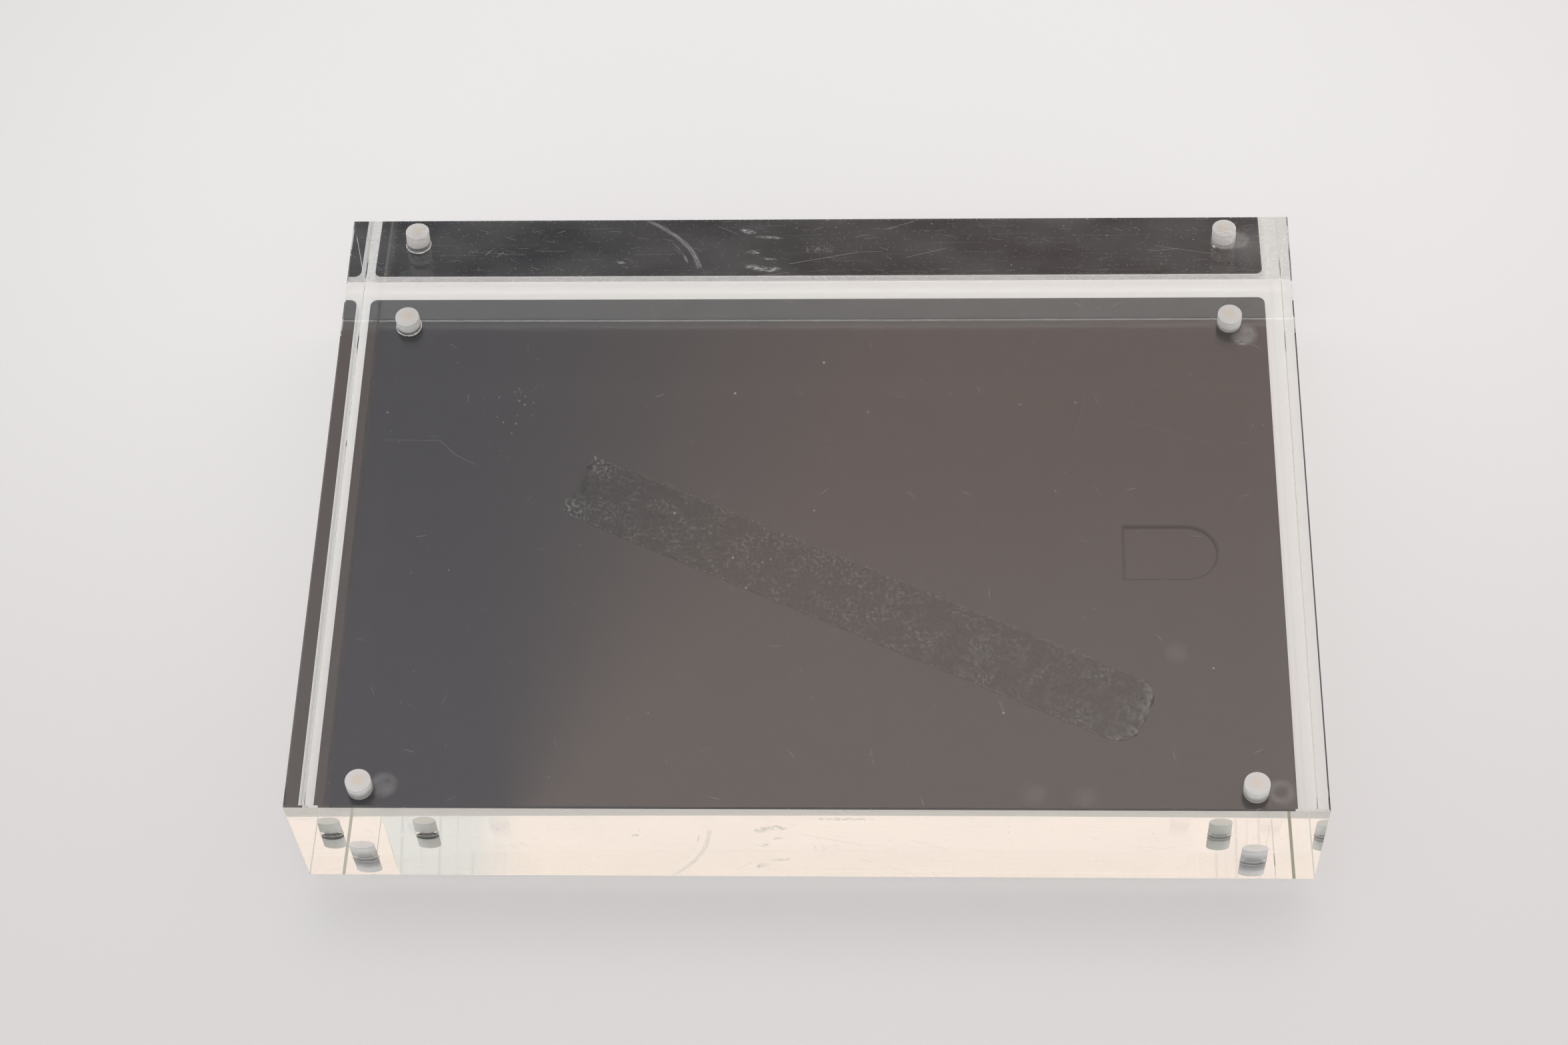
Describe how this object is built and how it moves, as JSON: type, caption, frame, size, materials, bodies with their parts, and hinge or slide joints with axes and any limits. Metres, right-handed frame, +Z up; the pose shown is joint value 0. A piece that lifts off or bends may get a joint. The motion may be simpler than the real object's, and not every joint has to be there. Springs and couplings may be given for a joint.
{
  "type": "acrylic block picture frame",
  "caption": "Thick clear acrylic block held by corner magnets to a thin dark back panel, with a slot for a picture between them and sloping end walls to stand on.",
  "frame": {"origin": "on the surface that the back panel lies on, under the middle of the block's display face", "axes": "+X along the width, +Y towards the sloping standing base, +Z up through the display face"},
  "size_m": [0.178, 0.127, 0.0314],
  "materials": {
    "clear_acrylic": "clear cast acrylic, polished on all faces, lightly scratched",
    "charcoal_panel": "glossy charcoal plastic sheet with pale cut edges",
    "tape": "mottled adhesive tape",
    "white_cup": "translucent white moulded plastic",
    "magnet_nickel": "dark nickel plate, dull",
    "clear_adhesive": "clear set adhesive"
  },
  "bodies": {
    "panel": {"back_panel": "charcoal_panel", "tape_strip": "tape", "panel_magnet_far_left": "magnet_nickel", "panel_magnet_far_right": "magnet_nickel", "panel_magnet_near_left": "magnet_nickel", "panel_magnet_near_right": "magnet_nickel"},
    "block": {"acrylic_block": "clear_acrylic", "magnet_cup_far_left": "white_cup", "magnet_cup_far_right": "white_cup", "magnet_cup_near_left": "white_cup", "magnet_cup_near_right": "white_cup", "block_magnet_far_left": "magnet_nickel", "block_magnet_far_right": "magnet_nickel", "block_magnet_near_left": "magnet_nickel", "block_magnet_near_right": "magnet_nickel", "adhesive_collar_far_left": "clear_adhesive", "adhesive_collar_far_right": "clear_adhesive", "adhesive_collar_near_left": "clear_adhesive", "adhesive_collar_near_right": "clear_adhesive"}
  },
  "joints": [
    {"name": "block_lift", "type": "slide", "parent": "panel", "child": "block", "axis": [0, 0, 1], "range_m": [0, 0.06]}
  ]
}
